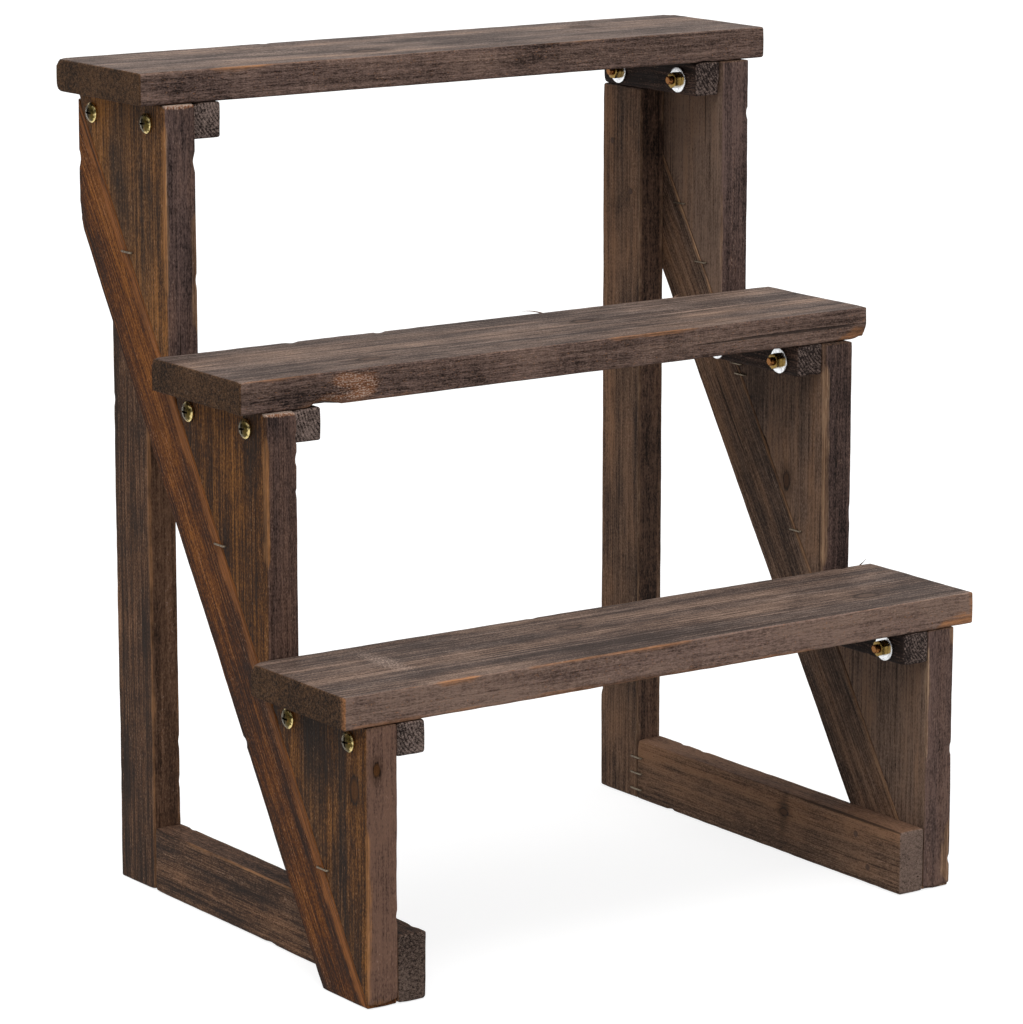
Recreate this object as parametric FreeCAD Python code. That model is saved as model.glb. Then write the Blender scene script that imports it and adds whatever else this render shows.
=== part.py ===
"""Tiered plant stand: three boards in a staircase between two triangular side frames.

Millimetres.  X runs along the shelves, -Y is the front, +Z is up.  The origin is on the
floor, under the middle of the stand.  The left and right sides are mirror images.
"""
import FreeCAD, Part
import math
import os

from FreeCAD import Vector

# ---------------------------------------------------------------- driving dimensions
# Shelves
shelf_length = 512.0
shelf_depth = 111.0
shelf_thickness = 22.0
shelf_overhang = 16.5            # shelf end past the outer face of the side frame
step_gap = 8.0                   # from the back of a shelf to the front of the one above
top_shelf_height = 572.0

# Lift of each shelf's lower face over the brace, at the shelf's back edge
top_lift = 4.0
middle_lift = 5.2
lower_lift = 10.3

# Side frames: an outer layer of brace and posts, an inner layer of battens and cleats
outer_plank_thickness = 23.0
inner_plank_thickness = 21.5
brace_width = 45.5
back_post_width = 46.0
rail_height = 45.0
cleat_heights = {"top": 24.0, "middle": 22.0, "lower": 22.0}

# Front edge of a post past the front edge of its shelf
post_reach = {"top": 3.5, "middle": 5.0, "front": 0.0}

# Worn corners
shelf_edge_radius = 1.5
plank_edge_radius = 1.0

# Shelf bolts, their washers and nuts
bolt_diameter = 6.0
bolt_hole_clearance = 0.2        # all round the shank
bolt_inset = 20.0                # from the front and back ends of a cleat
bolt_drops = {"top": 13.5, "middle": 12.5, "lower": 12.5}    # from the shelf's lower face
bolt_projection = 3.9            # thread past the nut
bolt_tip_chamfer = 0.6
bolt_head_diameter = 13.5
bolt_head_height = 3.8
bolt_head_rim = 1.0              # straight side of the head under its dome
recess_length = 6.4
recess_width = 1.3
recess_depth = 1.9
washer_diameter = 18.0
washer_thickness = 1.6
nut_width = 10.0                 # across the flats
nut_height = 5.0
nut_corner_cut = 0.6             # height of the chamfer at the corners

# Screws that hold a shelf down on its cleats, driven from below
screw_inset = 38.0               # from the front and back ends of a cleat
screw_diameter = 4.0
screw_head_diameter = 8.0
screw_head_height = 2.6
screw_bite = 13.0                # length in the shelf, with the point
screw_point_length = 4.0

# Wire staples across the joints
staple_wire = 1.4
staple_crown = 12.0              # centre to centre of the legs
staple_leg = 12.0
staple_bend_radius = 1.1         # on the wire's centre line

# Staples along a post's joint with the brace: up from the post's point, or down from the
# joint's upper end
outer_staples = {"top": (96.5,), "middle": (109.0,), "front": (96.0,)}
inner_staples = {"top": (44.5, 91.5), "middle": (59.0,), "front": ()}
high_inner_staples = {"top": (), "middle": (27.0, 35.5), "front": ()}

# Staples across the joint of back post and bottom rail
rail_staple_first = 7.5
rail_staple_spacing = 12.0
rail_staple_count = 3

# Nails that hold the inner battens to the brace
nail_diameter = 2.2
nail_head_diameter = 4.6
nail_head_height = 1.0
nail_bite = 13.0                 # length in the brace, with the point
nail_point_length = 3.0
nail_edge = 12.0                 # from the edges of the batten

# ---------------------------------------------------------------- worked-out places
step_depth = shelf_depth + step_gap
frame_depth = shelf_depth + 2 * step_depth
back_y = frame_depth / 2
front_y = -frame_depth / 2
outer_x = shelf_length / 2 - shelf_overhang
lap_x = outer_x - outer_plank_thickness
inner_x = lap_x - inner_plank_thickness

steps_forward = {"top": 0, "middle": 1, "lower": 2}
lifts = {"top": top_lift, "middle": middle_lift, "lower": lower_lift}
tiers = tuple(steps_forward)
post_tiers = {"top": "top", "middle": "middle", "front": "lower"}

brace_tip_z = top_shelf_height - shelf_thickness - top_lift
brace_angle = math.atan2(brace_tip_z, frame_depth)
brace_slope = brace_tip_z / frame_depth
brace_foot = brace_width / math.sin(brace_angle)
brace_back_cut = brace_width / math.cos(brace_angle)

TOUCHING = 1e-6                  # lengths under this are the same place
OUTWARD = Vector(1, 0, 0)
UPWARD = Vector(0, 0, 1)


def tier_front(tier):
    """Front edge of a shelf and of its cleats."""
    return back_y - shelf_depth - steps_forward[tier] * step_depth


def tier_back(tier):
    """Back edge of a shelf, of its cleats and of the posts cut from the same boards."""
    return tier_front(tier) + shelf_depth


def post_front(name):
    """Front edge of a post."""
    return tier_front(post_tiers[name]) - post_reach[name]


def joint_z(y):
    """Height of the brace's upper edge at a depth."""
    return (y - front_y) * brace_slope


def joint_y(z):
    """Depth of the brace's upper edge at a height."""
    return front_y + z / brace_slope


def underside(tier):
    """Height of a shelf's lower face."""
    return joint_z(tier_back(tier)) + lifts[tier]


# ---------------------------------------------------------------- shared shapes
def cylinder(radius, length, start, direction):
    return Part.makeCylinder(radius, length, start, direction)


def block(x_range, y_range, z_range):
    size = [high - low for low, high in (x_range, y_range, z_range)]
    corner = Vector(x_range[0], y_range[0], z_range[0])
    return Part.makeBox(size[0], size[1], size[2], corner)


def plank(outline, x_low, x_high):
    """A board lying in the side frame's plane, from its outline in Y and Z."""
    corners = [Vector(x_low, y, z) for y, z in outline]
    face = Part.Face(Part.makePolygon(corners + corners[:1]))
    return face.extrude(Vector(x_high - x_low, 0, 0))


def edge_runs(edge, direction):
    """Whether a straight edge is parallel to a direction."""
    first, last = (vertex.Point for vertex in edge.Vertexes)
    along = (last - first).normalize()
    return abs(abs(along.dot(direction)) - 1) < TOUCHING


def eased(solid, direction, radius, wanted=lambda point: True):
    """Round the edges that run in a direction."""
    edges = [
        edge
        for edge in solid.Edges
        if edge_runs(edge, direction) and wanted(edge.CenterOfMass)
    ]
    return solid.makeFillet(radius, edges)


def bored(solid, tools):
    """Cut every tool that reaches into the solid."""
    reach = [tool for tool in tools if solid.BoundBox.intersect(tool.BoundBox)]
    return solid.cut(Part.makeCompound(reach)) if reach else solid


def mirrored(shape):
    """The left-hand copy of a right-hand shape."""
    return shape.mirror(Vector(0, 0, 0), OUTWARD)


# ---------------------------------------------------------------- bolts, washers, nuts
def bolt_spots(tier):
    """Depth and height of a shelf's bolts, the same at both ends."""
    z = underside(tier) - bolt_drops[tier]
    front = tier_front(tier)
    return [(front + bolt_inset, z), (tier_back(tier) - bolt_inset, z)]


def pan_head():
    """A domed head on the YZ plane, pointing along +X, with a cross recess."""
    radius = bolt_head_diameter / 2
    dome = bolt_head_height - bolt_head_rim
    dome_radius = (radius ** 2 + dome ** 2) / (2 * dome)
    centre = Vector(bolt_head_height - dome_radius, 0, 0)
    disc = cylinder(radius, bolt_head_height, Vector(0, 0, 0), OUTWARD)
    head = disc.common(Part.makeSphere(dome_radius, centre, OUTWARD))
    reach_x = (bolt_head_height - recess_depth, bolt_head_height)
    long_side = (-recess_length / 2, recess_length / 2)
    short_side = (-recess_width / 2, recess_width / 2)
    cross = block(reach_x, long_side, short_side).fuse(block(reach_x, short_side, long_side))
    return head.cut(cross.removeSplitter())


def bolt():
    """A bolt on the right side, its axis through Y and Z zero."""
    length = outer_plank_thickness + inner_plank_thickness
    length += washer_thickness + nut_height + bolt_projection
    shank = cylinder(bolt_diameter / 2, length, Vector(outer_x, 0, 0), -OUTWARD)
    shank = shank.makeChamfer(bolt_tip_chamfer, [tip_edge(shank, outer_x - length)])
    head = pan_head()
    head.translate(Vector(outer_x, 0, 0))
    return shank.fuse(head)


def tip_edge(solid, x):
    """The round edge of a cylinder's end at a given X."""
    return next(edge for edge in solid.Edges if abs(edge.BoundBox.XMax - x) < TOUCHING)


def washer():
    """A flat washer against the inner face of a right-hand cleat."""
    disc = cylinder(washer_diameter / 2, washer_thickness, Vector(inner_x, 0, 0), -OUTWARD)
    hole_radius = bolt_diameter / 2 + bolt_hole_clearance
    return disc.cut(cylinder(hole_radius, washer_thickness, Vector(inner_x, 0, 0), -OUTWARD))


def nut():
    """A hexagon nut against the washer, chamfered on its inner side."""
    seat = Vector(inner_x - washer_thickness, 0, 0)
    corner_radius = nut_width / math.sqrt(3)
    corners = [
        seat + Vector(0, corner_radius * math.cos(turn), corner_radius * math.sin(turn))
        for turn in [math.radians(60 * side) for side in range(6)]
    ]
    hexagon = Part.Face(Part.makePolygon(corners + corners[:1]))
    prism = hexagon.extrude(Vector(-nut_height, 0, 0))
    straight = cylinder(corner_radius, nut_height - nut_corner_cut, seat, -OUTWARD)
    shoulder = seat - OUTWARD * (nut_height - nut_corner_cut)
    cone = Part.makeCone(
        corner_radius, corner_radius - 2 * nut_corner_cut, nut_corner_cut, shoulder, -OUTWARD
    )
    body = prism.common(straight.fuse(cone))
    return body.cut(cylinder(bolt_diameter / 2, nut_height, seat, -OUTWARD))


def at_bolts(tier, template):
    """Copies of a right-hand fastener at every bolt of a shelf, right and left."""
    copies = []
    for y, z in bolt_spots(tier):
        copy = template.copy()
        copy.translate(Vector(0, y, z))
        copies += [copy, mirrored(copy)]
    return copies


def bolt_holes():
    """Clearance holes through the right-hand post and cleat of every shelf."""
    radius = bolt_diameter / 2 + bolt_hole_clearance
    return [
        cylinder(radius, outer_x - inner_x, Vector(inner_x, y, z), OUTWARD)
        for tier in tiers
        for y, z in bolt_spots(tier)
    ]


# ---------------------------------------------------------------- screws and nails
def pointed_pin(shank, head, head_height, length, point_length, start, direction):
    """A countersunk screw or nail from its head's face, with a pointed end."""
    cone = Part.makeCone(head / 2, shank / 2, head_height, start, direction)
    middle = length - head_height - point_length
    body = cylinder(shank / 2, middle, start + direction * head_height, direction)
    tip = Part.makeCone(
        shank / 2, 0, point_length, start + direction * (length - point_length), direction
    )
    return cone.fuse([body, tip]).removeSplitter()


def cleat_screws(tier):
    """The two screws through a right-hand cleat into its shelf."""
    front = tier_front(tier)
    x = (inner_x + lap_x) / 2
    height = cleat_heights[tier]
    start_z = underside(tier) - height
    return [
        pointed_pin(
            screw_diameter,
            screw_head_diameter,
            screw_head_height,
            height + screw_bite,
            screw_point_length,
            Vector(x, y, start_z),
            UPWARD,
        )
        for y in (front + screw_inset, tier_back(tier) - screw_inset)
    ]


def brace_middle_z(y):
    """Height of the brace's centre line at a depth."""
    return joint_z(y) - brace_back_cut / 2


def lap_nails():
    """Nails from the right-hand back post and bottom rail into the brace."""
    post_front = back_y - back_post_width
    spots = [(y, brace_middle_z(y)) for y in (back_y - nail_edge, post_front + nail_edge)]
    for z in (nail_edge, rail_height - nail_edge):
        spots.append((joint_y(z) + brace_foot / 2, z))
    return [
        pointed_pin(
            nail_diameter,
            nail_head_diameter,
            nail_head_height,
            inner_plank_thickness + nail_bite,
            nail_point_length,
            Vector(inner_x, y, z),
            OUTWARD,
        )
        for y, z in spots
    ]


# ---------------------------------------------------------------- staples
def staple(x, y, z, into):
    """A staple on a face at X, its crown level, its legs driven along `into` (+1 or -1)."""
    lift = staple_bend_radius
    half = staple_crown / 2
    turn = staple_bend_radius * (1 - math.sqrt(0.5))

    def point(along, depth):
        return Vector(x + into * depth, y + along, z)

    pieces = [
        Part.LineSegment(point(-half, staple_leg), point(-half, 0)),
        Part.Arc(
            point(-half, 0), point(-half + turn, turn - lift), point(-half + lift, -lift)
        ),
        Part.LineSegment(point(-half + lift, -lift), point(half - lift, -lift)),
        Part.Arc(point(half - lift, -lift), point(half - turn, turn - lift), point(half, 0)),
        Part.LineSegment(point(half, 0), point(half, staple_leg)),
    ]
    path = Part.Wire([piece.toShape() for piece in pieces])
    circle = Part.makeCircle(staple_wire / 2, point(-half, staple_leg), OUTWARD)
    return path.makePipeShell([Part.Wire(circle)], True, False)


def joint_spot(start_y, distance):
    """Depth and height of a place on the posts' joint line, up it from a depth."""
    y = start_y + distance * math.cos(brace_angle)
    return y, joint_z(y)


def side_staples():
    """All staples of the right-hand frame: outer face, inner face, and rail joint."""
    found = []
    for name, tier in post_tiers.items():
        point_y = post_front(name)
        end_y = tier_back(tier)
        outer = [joint_spot(point_y, distance) for distance in outer_staples[name]]
        inner = [joint_spot(point_y, distance) for distance in inner_staples[name]]
        inner += [joint_spot(end_y, -distance) for distance in high_inner_staples[name]]
        found += [staple(outer_x, y, z, -1) for y, z in outer]
        found += [staple(lap_x, y, z, 1) for y, z in inner]
    for number in range(rail_staple_count):
        z = rail_staple_first + number * rail_staple_spacing
        found.append(staple(inner_x, back_y - back_post_width, z, 1))
    return found


# ---------------------------------------------------------------- wooden pieces
def shelf(tier, tools):
    low = underside(tier)
    board = block(
        (-shelf_length / 2, shelf_length / 2),
        (tier_front(tier), tier_back(tier)),
        (low, low + shelf_thickness),
    )
    board = board.makeFillet(shelf_edge_radius, board.Edges)
    return bored(board, tools)


def cleat(tier):
    """The square bar under a shelf's end, rounded along its two lower edges."""
    z = underside(tier)
    height = cleat_heights[tier]
    depth = (tier_front(tier), tier_back(tier))
    bar = block((inner_x, lap_x), depth, (z - height, z))
    return eased(bar, Vector(0, 1, 0), plank_edge_radius, lambda p: p.z < z - height / 2)


def post(name):
    """A tapering board whose back is cut along the brace's upper edge."""
    tier = post_tiers[name]
    front = post_front(name)
    back = tier_back(tier)
    top = underside(tier)
    outline = [(front, top), (back, top), (back, joint_z(back)), (front, joint_z(front))]
    solid = plank(outline, lap_x, outer_x)
    return eased(solid, UPWARD, plank_edge_radius, lambda p: p.y < front + TOUCHING)


def brace():
    """The sloping board from the floor at the front to the top shelf at the back."""
    outline = [
        (back_y, brace_tip_z),
        (front_y, 0),
        (front_y + brace_foot, 0),
        (back_y, brace_tip_z - brace_back_cut),
    ]
    along = Vector(0, math.cos(brace_angle), math.sin(brace_angle))
    return eased(plank(outline, lap_x, outer_x), along, plank_edge_radius)


def back_post():
    """The upright batten at the back, under the end of the top cleat."""
    top = underside("top") - cleat_heights["top"]
    batten = block((inner_x, lap_x), (back_y - back_post_width, back_y), (0, top))
    return eased(batten, UPWARD, plank_edge_radius)


def bottom_rail():
    """The batten on the floor, from the front of the frame to the back post."""
    batten = block((inner_x, lap_x), (front_y, back_y - back_post_width), (0, rail_height))
    return eased(batten, Vector(0, 1, 0), plank_edge_radius)


def build_parts():
    """Every named node of the stand."""
    nails = lap_nails()
    staples = side_staples()
    screws = {tier: cleat_screws(tier) for tier in tiers}
    side_tools = bolt_holes() + nails + staples
    for tier in tiers:
        side_tools += screws[tier]

    right = {"brace": brace(), "back_post": back_post(), "bottom_rail": bottom_rail()}
    for name in post_tiers:
        right[name + "_post"] = post(name)
    for tier in tiers:
        right["cleat_" + tier] = cleat(tier)

    nodes = {}
    for tier in tiers:
        both_ends = screws[tier] + [mirrored(screw) for screw in screws[tier]]
        nodes["shelf_" + tier] = shelf(tier, both_ends)
        nodes["screws_" + tier] = Part.makeCompound(both_ends)
        nodes["bolts_" + tier] = Part.makeCompound(at_bolts(tier, bolt()))
        nodes["washers_" + tier] = Part.makeCompound(at_bolts(tier, washer()))
        nodes["nuts_" + tier] = Part.makeCompound(at_bolts(tier, nut()))
    for name, solid in right.items():
        finished = bored(solid, side_tools)
        nodes[name + "_right"] = finished
        nodes[name + "_left"] = mirrored(finished)
    for name, group in (("staples", staples), ("nails", nails)):
        nodes[name + "_right"] = Part.makeCompound(group)
        nodes[name + "_left"] = Part.makeCompound([mirrored(solid) for solid in group])
    return nodes


os.makedirs("parts", exist_ok=True)
for node, shape in sorted(build_parts().items()):
    shape.exportStep("parts/" + node + ".step")
    print(node, "solids", len(shape.Solids), "valid", shape.isValid(), "mm3", round(shape.Volume))
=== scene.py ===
"""Tiered plant stand of weathered boards: three shelves stepped up two stapled side frames."""
import math

import bpy
import numpy as np
from mathutils import Matrix, Vector

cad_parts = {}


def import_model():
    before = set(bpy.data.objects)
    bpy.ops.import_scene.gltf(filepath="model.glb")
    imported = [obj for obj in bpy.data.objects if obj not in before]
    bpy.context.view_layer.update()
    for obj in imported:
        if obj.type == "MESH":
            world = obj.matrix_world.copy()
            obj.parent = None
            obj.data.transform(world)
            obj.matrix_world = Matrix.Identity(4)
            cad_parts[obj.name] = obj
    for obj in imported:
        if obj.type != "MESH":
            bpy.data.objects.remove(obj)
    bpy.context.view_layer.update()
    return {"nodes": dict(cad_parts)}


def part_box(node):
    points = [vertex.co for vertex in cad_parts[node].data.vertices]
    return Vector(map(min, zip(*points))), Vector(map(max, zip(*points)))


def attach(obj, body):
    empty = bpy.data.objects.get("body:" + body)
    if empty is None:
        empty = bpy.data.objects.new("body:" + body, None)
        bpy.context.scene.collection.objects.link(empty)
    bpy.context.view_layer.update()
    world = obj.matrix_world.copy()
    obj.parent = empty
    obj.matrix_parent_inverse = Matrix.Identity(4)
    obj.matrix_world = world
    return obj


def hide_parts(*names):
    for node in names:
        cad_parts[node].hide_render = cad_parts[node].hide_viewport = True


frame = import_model()

MM = 0.001
HANDS = ("left", "right")
TIERS = ("top", "middle", "lower")

# Camera, from the photograph's vanishing points: metres, degrees, and mm of lens.
CAMERA_PLACE = (-1.72134, -2.45492, 0.90141)
CAMERA_YAW = 34.92
CAMERA_PITCH = 12.03
CAMERA_LENS = 158.45
SENSOR_WIDTH = 36.0

# Light: the world's plain level, one wide lamp, and the floor, its half side and drop in metres.
AMBIENT = 0.46
LAMP_STRENGTH = 2.2
LAMP_SPREAD = 60.0
LAMP_AIM = (0.25, 0.3, -1.0)
FLOOR_GLOW = 0.8
FLOOR_GREY = 0.36
FLOOR_HALF = 14.0
FLOOR_DROP = 0.0003

# Timber, in mm: the brace's width, and how a board's mesh rows are spaced from an arris.
BRACE_WIDTH = 45.5
NEAR_ARRIS = (0.35, 0.8, 1.4, 2.2, 3.4, 5.0)
PITCH = 2.4

# A board's two ends, its two narrow sides and its two broad ones.
SIDES = ("start", "finish", "front", "back", "under", "face")

# Bolts, in mm, and the angle over which a metal edge stays sharp.
HEAD_RADIUS = 6.75
HEAD_HEIGHT = 3.8
WASHER = 1.6
SHARP_ANGLE = 32.0


# ---------------------------------------------------------------- node graphs

class Wire:
    """One output socket of a graph. Arithmetic on it adds Math nodes."""

    def __init__(self, graph, socket):
        self.graph = graph
        self.socket = socket

    def math(self, operation, *others):
        return self.graph.math(operation, self, *others)

    def __add__(self, other):
        return self.math("ADD", other)

    def __sub__(self, other):
        return self.math("SUBTRACT", other)

    def __rsub__(self, other):
        return self.graph.math("SUBTRACT", other, self)

    def __mul__(self, other):
        return self.math("MULTIPLY", other)

    def __truediv__(self, other):
        return self.math("DIVIDE", other)

    def __pow__(self, other):
        return self.math("POWER", other)

    __radd__ = __add__
    __rmul__ = __mul__

    def fraction(self):
        return self.math("FRACT")

    def highest(self, other):
        return self.math("MAXIMUM", other)


class Graph:
    """Adds nodes to one node tree."""

    def __init__(self, tree):
        self.tree = tree
        tree.nodes.clear()

    def node(self, kind, settings=None, sockets=None, out=0):
        """A new node with its settings, then its sockets' values or links."""
        new = self.tree.nodes.new(kind)
        for key, value in (settings or {}).items():
            if key == "stops":
                set_stops(new.color_ramp, value)
            else:
                setattr(new, key, value)
        inputs = {socket.identifier: socket for socket in new.inputs}
        for key, value in (sockets or {}).items():
            for item in value if isinstance(value, list) else [value]:
                if isinstance(item, Wire):
                    self.tree.links.new(item.socket, inputs[key])
                else:
                    inputs[key].default_value = item
        return Wire(self, new.outputs[out])

    def math(self, operation, *values):
        sockets = dict(zip(("Value", "Value_001"), values))
        return self.node("ShaderNodeMath", {"operation": operation}, sockets)

    def split(self, vector):
        """The three parts of a vector."""
        first = self.node("ShaderNodeSeparateXYZ", sockets={"Vector": vector})
        return [Wire(self, output) for output in first.socket.node.outputs]

    def step(self, value, low, high):
        """Smooth rise from 0 at low to 1 at high."""
        sockets = {"Value": value, "From Min": low, "From Max": high}
        return self.node("ShaderNodeMapRange", {"interpolation_type": "SMOOTHSTEP"}, sockets)

    def finish(self, kind, result):
        """Give the tree its output node."""
        output = self.tree.nodes.new(kind)
        self.tree.links.new(result.socket, output.inputs[0])


def set_stops(ramp, stops):
    """Give a colour ramp its stops, as pairs of place and colour."""
    while len(ramp.elements) < len(stops):
        ramp.elements.new(1.0)
    for element, (place, colour) in zip(ramp.elements, stops):
        element.position = place
        element.color = colour


def tint(red, green, blue):
    """A colour given as it is seen on a screen, 0 to 255, for a shader socket."""
    linear = []
    for value in (red, green, blue):
        share = value / 255.0
        linear.append(share / 12.92 if share <= 0.04045 else ((share + 0.055) / 1.055) ** 2.4)
    return (*linear, 1.0)


def shade(colour, factor):
    """The colour made lighter or darker by a factor."""
    return tuple(min(1.0, value * factor) for value in colour[:3]) + (1.0,)


class Paint(Graph):
    """Builds one material."""

    def __init__(self, name):
        self.material = bpy.data.materials.new(name)
        self.material.use_nodes = True
        super().__init__(self.material.node_tree)

    def value(self, name):
        return self.node("ShaderNodeAttribute", {"attribute_name": name}, out=2)

    def vector(self, name):
        return self.node("ShaderNodeAttribute", {"attribute_name": name}, out=1)

    def noise(self, vector, scale, detail=2.0, rough=0.5):
        """Noise spread about zero, stretched by three scales per metre."""
        scaled = self.node("ShaderNodeVectorMath", {"operation": "MULTIPLY"},
                           {"Vector": vector, "Vector_001": scale})
        raw = self.node("ShaderNodeTexNoise", {"noise_dimensions": "3D"},
                        {"Vector": scaled, "Scale": 1.0, "Detail": detail, "Roughness": rough})
        return raw - 0.5

    def clouds(self, scale, detail=3.0):
        """Noise that runs alike in all directions through a piece."""
        place = self.node("ShaderNodeTexCoord", out=3)
        return self.noise(place, (scale, scale, scale), detail)

    def ramp(self, value, *stops):
        return self.node("ShaderNodeValToRGB", {"stops": stops}, {"Fac": value})

    def mix(self, factor, first, second):
        sockets = {"Factor_Float": factor, "A_Color": first, "B_Color": second}
        return self.node("ShaderNodeMix", {"data_type": "RGBA"}, sockets, out=2)

    def bump(self, height):
        return self.node("ShaderNodeBump", sockets={"Height": height, "Distance": MM})

    def principled(self, sockets):
        return self.surface(self.node("ShaderNodeBsdfPrincipled", sockets=sockets))

    def surface(self, shader):
        self.finish("ShaderNodeOutputMaterial", shader)
        return self.material


# ---------------------------------------------------------------- wood

# Noises of the wood: scales per metre along, across and through a board, octaves, roughness.
WOOD_NOISES = {
    "sway": ((3.4, 14.0, 14.0), 3.0, 0.5),
    "lines": ((8.0, 760.0, 760.0), 3.0, 0.68),
    "fibres": ((70.0, 1150.0, 1150.0), 3.0, 0.7),
    "streaks": ((9.0, 170.0, 170.0), 3.0, 0.6),
    "bands": ((2.2, 44.0, 44.0), 2.0, 0.5),
    "blotches": ((14.0, 26.0, 26.0), 4.0, 0.6),
    "grit": ((620.0, 1300.0, 1300.0), 2.0, 0.5),
    "fuzz": ((170.0, 900.0, 900.0), 3.0, 0.7),
    "chatter": ((520.0, 40.0, 40.0), 1.0, 0.5),
    "flecks": ((170.0, 1100.0, 1100.0), 2.0, 0.5),
    "specks": ((640.0, 900.0, 900.0), 2.0, 0.5),
    "torn": ((90.0, 520.0, 520.0), 4.0, 0.75),
    "fray": ((20.0, 560.0, 560.0), 4.0, 0.7),
    "cracks": ((5.0, 260.0, 260.0), 1.0, 0.5),
}


class Wood(Paint):
    """A wood's graph. Its noises, and the values written on the boards, go by name."""

    def __init__(self, name):
        super().__init__(name)
        self.grain = self.vector("grain")
        self.made = {}

    def __getitem__(self, name):
        if name not in self.made:
            noise = WOOD_NOISES.get(name)
            self.made[name] = self.noise(self.grain, *noise) if noise else self.value(name)
        return self.made[name]

    def blend(self, start, **shares):
        """A number plus noises and board values, each by its share."""
        total = start
        for name, share in shares.items():
            total = total + self[name] * share
        return total


def weathered_wood(name, rings, cool, warm, rub, end, edge, late=0.1, end_rings=0.2,
                   speckle=0.0, brown_edge=0.6):
    """Stained softwood: rings and fibres follow the board, arrises rub through to bare wood.

    cool and warm are each a dark, a middle and a light colour of the sawn faces, end and
    edge a dark and a light one; rings is how many there are to a metre."""
    cool, warm, end, edge = ([tint(*each) for each in group] for group in (cool, warm, end, edge))
    rub = tint(*rub)
    wood = Wood(name)
    near = knot_distance(wood)
    heart = wood.step(near + wood["fuzz"] * 1.2, 1.15, 0.85)
    latewood = growth_rings(wood, rings, near)
    hue = wood.step(wood.blend(0.0, bands=1.0, blotches=0.8, streaks=0.5, warmth=0.4), -0.3, 0.32)
    bare = wood.step(wood.blend(0.0, wear=1.0, fray=6.5), -0.6, 3.4)
    cracks = wood.step(wood["cracks"], 0.225, 0.26)

    colour = sawn_faces(wood, hue, latewood * late, cool, warm)
    colour = sawn_edges(wood, colour, hue * brown_edge, warm, edge)
    if speckle:
        specks = wood.step(wood["specks"], 0.13, 0.24)
        colour = wood.mix(specks * wood["edge"] * speckle, colour, shade(rub, 1.25))
    colour = end_grain(wood, colour, latewood * end_rings, end)
    colour = rubbed_arrises(wood, colour, bare, rub)
    colour = scuffed_and_highlit(wood, colour, cool[0])
    colour = knotted(wood, colour, near, heart, cool[0], warm)
    colour = wood.mix(cracks * 0.8, colour, shade(cool[0], 0.4))

    relief = wood.blend(0.0, fibres=0.36, grit=0.14, streaks=0.1) + latewood * 0.08 - cracks * 0.5
    relief = relief + wood["edge"] * wood.blend(0.0, fuzz=0.55, chatter=0.12)
    relief = relief + wood["end"] * wood["torn"] * 1.1 - heart * 0.2
    return wood.principled({
        "Base Color": colour,
        "Roughness": wood.blend(0.72, fibres=0.3, edge=0.1, end=0.14) - bare * 0.06,
        "Specular IOR Level": 0.16,
        "Normal": wood.bump(relief),
    })


def knot_distance(wood):
    """Distance from the nearest knot, in its radii, with knots drawn out along the grain."""
    along, across, radius = wood.split(wood.vector("knot"))
    return ((along / 1.8) ** 2.0 + across ** 2.0) ** 0.5 / radius


def growth_rings(wood, rings, near):
    """The dark part of rings about a pith beside the board, bent round the knots."""
    across, depth = wood.split(wood.grain)[1:]
    pull = wood.step(near, 5.0, 0.0)
    radius = (across * across + depth * depth) ** 0.5 + wood["sway"] * 0.016 + pull * 0.005
    ring = (radius * rings).fraction()
    return wood.step(ring, 0.35, 0.9) * wood.step(ring, 1.0, 0.93)


def sawn_faces(wood, hue, rings, cool, warm):
    """The broad faces, between a cool and a warm stain."""
    tone = wood.blend(0.47, stain=1.0, lines=1.3, fibres=1.1, streaks=0.6, bands=0.7, blotches=1.0,
                      grit=1.1) - rings + wood["chatter"] * 0.12
    ramps = [wood.ramp(tone, (0.0, shade(dark, 0.62)), (0.2, dark), (0.47, body), (0.74, light),
                       (1.0, shade(light, 1.4))) for dark, body, light in (cool, warm)]
    return wood.mix(hue, *ramps)


def sawn_edges(wood, colour, hue, warm, edge):
    """The narrow sides: short torn fibres, marks across the grain and pale flecks."""
    tone = wood.blend(0.47, stain=1.0, fuzz=1.3, lines=1.1, grit=1.0, blotches=1.1, streaks=0.7,
                      chatter=0.2)
    dark, light = edge
    sawn = wood.ramp(tone, (0.0, shade(dark, 0.4)), (0.2, dark), (0.9, light))
    browned = wood.ramp(tone, (0.0, warm[0]), (0.55, warm[1]), (1.0, warm[2]))
    sawn = wood.mix(hue, sawn, browned)
    sawn = wood.mix(wood.step(wood["flecks"], 0.17, 0.28) * 0.4, sawn, shade(light, 1.2))
    return wood.mix(wood["edge"], colour, sawn)


def end_grain(wood, colour, rings, end):
    """Open rings and torn fibres on the sawn-off ends."""
    tone = wood.blend(0.5, stain=1.0, torn=2.5, grit=1.4) - rings + wood["blotches"]
    return wood.mix(wood["end"], colour, wood.ramp(tone, (0.08, end[0]), (0.95, end[1])))


def rubbed_arrises(wood, colour, bare, rub):
    """Bare wood where the arrises are rubbed, orange on warm boards and tan on grey ones."""
    tone = wood.blend(0.5, stain=0.5, lines=1.6, fibres=1.0, fuzz=0.6, blotches=0.8)
    orange = wood.ramp(tone, (0.1, shade(rub, 0.35)), (0.55, rub), (0.95, shade(rub, 1.7)))
    tan = wood.ramp(tone, (0.1, tint(82, 62, 50)), (0.55, tint(140, 110, 86)),
                    (0.95, tint(200, 168, 138)))
    rubbed = wood.mix(wood.step(wood["warmth"], 0.05, -0.3), orange, tan)
    return wood.mix(bare * (0.8 + wood["lines"]), colour, rubbed)


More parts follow.
